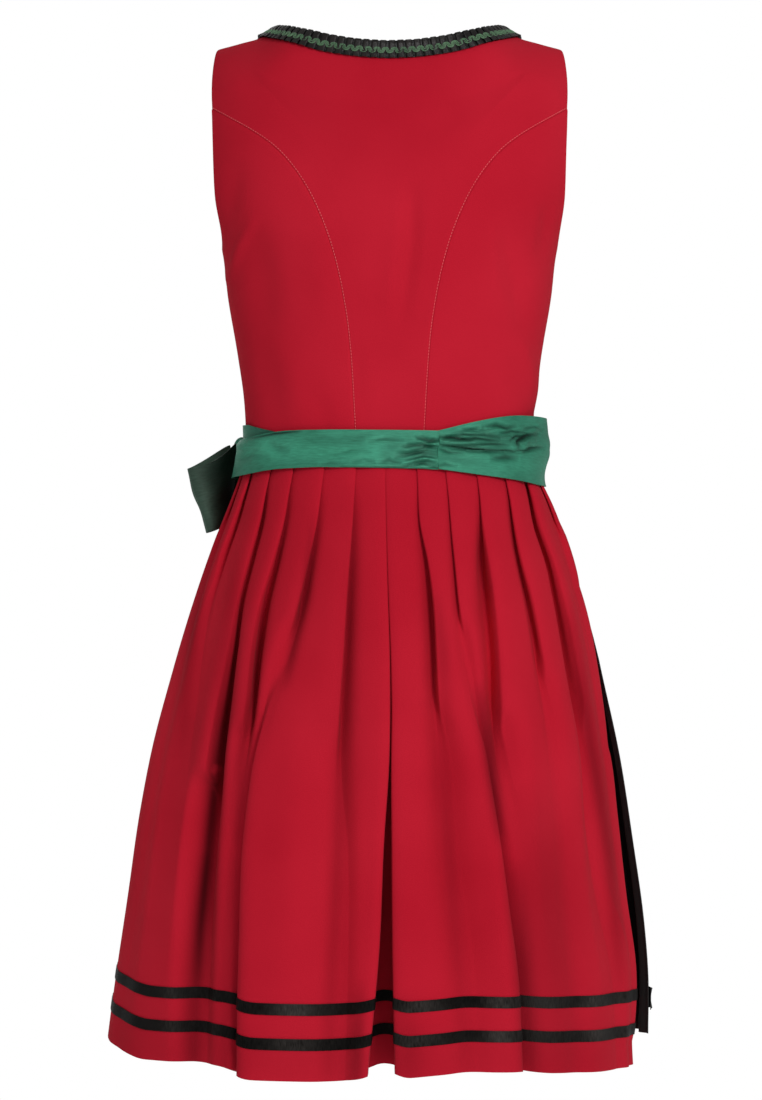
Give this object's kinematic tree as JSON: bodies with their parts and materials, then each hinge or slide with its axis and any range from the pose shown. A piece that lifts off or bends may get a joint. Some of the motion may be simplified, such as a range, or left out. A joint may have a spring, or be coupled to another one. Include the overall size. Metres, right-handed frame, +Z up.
{
  "type": "dirndl dress with apron",
  "caption": "Hollow, worn-shape folk dress: sleeveless princess-seamed bodice, knee-length knife-pleated skirt with ribbon bands at the hem, gathered apron, waist sash and side bow.",
  "frame": {"origin": "between the shoulders, at the height at which the wearer's shoulders carry the dress", "axes": "+Z up, -Y the way the front of the dress faces, +X the wearer's left"},
  "size_m": [0.5207, 0.3667, 0.9825],
  "materials": {
    "red_wool": "plain-woven wool cloth, matt with a faint nap",
    "green_taffeta": "crisp taffeta with a soft sheen and creases",
    "black_satin": "satin ribbon, glossy along its folds",
    "black_cotton": "plain cotton, matt",
    "green_gimp": "corded gimp braid, semi-matt"
  },
  "bodies": {
    "root": {"bodice_back": "red_wool", "bodice_side_back_left": "red_wool", "bodice_side_back_right": "red_wool", "bodice_side_front_left": "red_wool", "bodice_side_front_right": "red_wool", "bodice_front_left": "red_wool", "bodice_front_right": "red_wool", "skirt_back_left": "red_wool", "skirt_back_right": "red_wool", "skirt_front_left": "red_wool", "skirt_front_right": "red_wool", "sash_band_back": "green_taffeta", "sash_tie_right": "green_taffeta", "sash_tie_front": "green_taffeta", "sash_under_layer": "green_taffeta", "bow_knot": "green_taffeta", "bow_loop_back": "green_taffeta", "bow_loop_front": "green_taffeta", "bow_tail_back": "green_taffeta", "bow_tail_front": "green_taffeta", "hem_ribbon_upper_back_left": "black_satin", "hem_ribbon_upper_back_right": "black_satin", "hem_ribbon_upper_front_left": "black_satin", "hem_ribbon_upper_front_right": "black_satin", "hem_ribbon_lower_back_left": "black_satin", "hem_ribbon_lower_back_right": "black_satin", "hem_ribbon_lower_front_left": "black_satin", "hem_ribbon_lower_front_right": "black_satin", "neck_ruching": "black_satin", "apron_ruching": "black_satin", "apron": "black_cotton", "neck_gimp": "green_gimp"}
  },
  "joints": []
}
